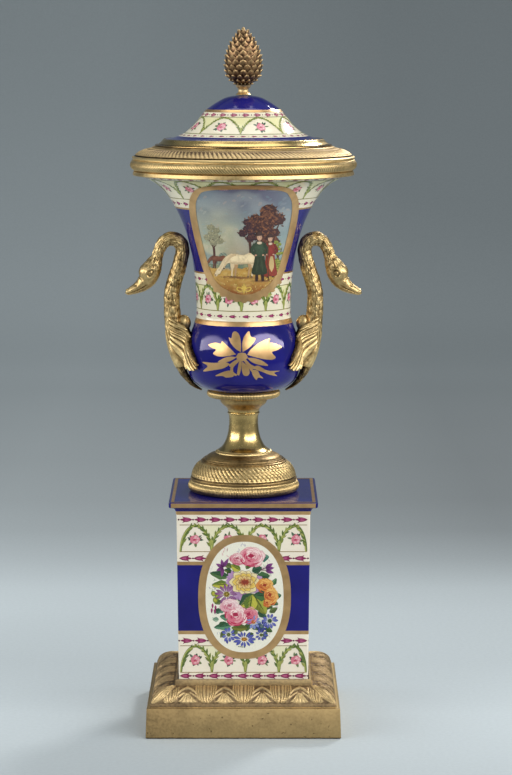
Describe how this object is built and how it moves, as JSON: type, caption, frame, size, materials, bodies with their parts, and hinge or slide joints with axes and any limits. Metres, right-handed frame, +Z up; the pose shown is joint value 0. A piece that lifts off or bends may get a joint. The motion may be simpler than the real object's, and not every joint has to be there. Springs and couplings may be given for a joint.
{
  "type": "covered vase on pedestal",
  "caption": "Covered urn-shaped porcelain cassolette with bronze rim, pinecone finial and swan-neck handles, on a turned foot and a square porcelain pedestal with a stepped bronze base",
  "frame": {"origin": "middle of the underside of the square base, on the floor", "axes": "+Z up along the axis of the vase, -Y towards the front with the painted medallions, handles along X"},
  "size_m": [0.1654, 0.157, 0.4846],
  "materials": {
    "gilt_bronze": "gilded, chased, slightly worn",
    "porcelain": "gloss glaze, cobalt blue and white grounds, enamelled and gilded"
  },
  "bodies": {
    "root": {"base": "gilt_bronze", "pedestal": "porcelain", "foot": "gilt_bronze", "collar": "gilt_bronze", "vase": "porcelain", "handle_left": "gilt_bronze", "handle_right": "gilt_bronze", "rim_mount": "gilt_bronze", "lid_ring": "gilt_bronze", "lid": "porcelain", "finial": "gilt_bronze"}
  },
  "joints": []
}
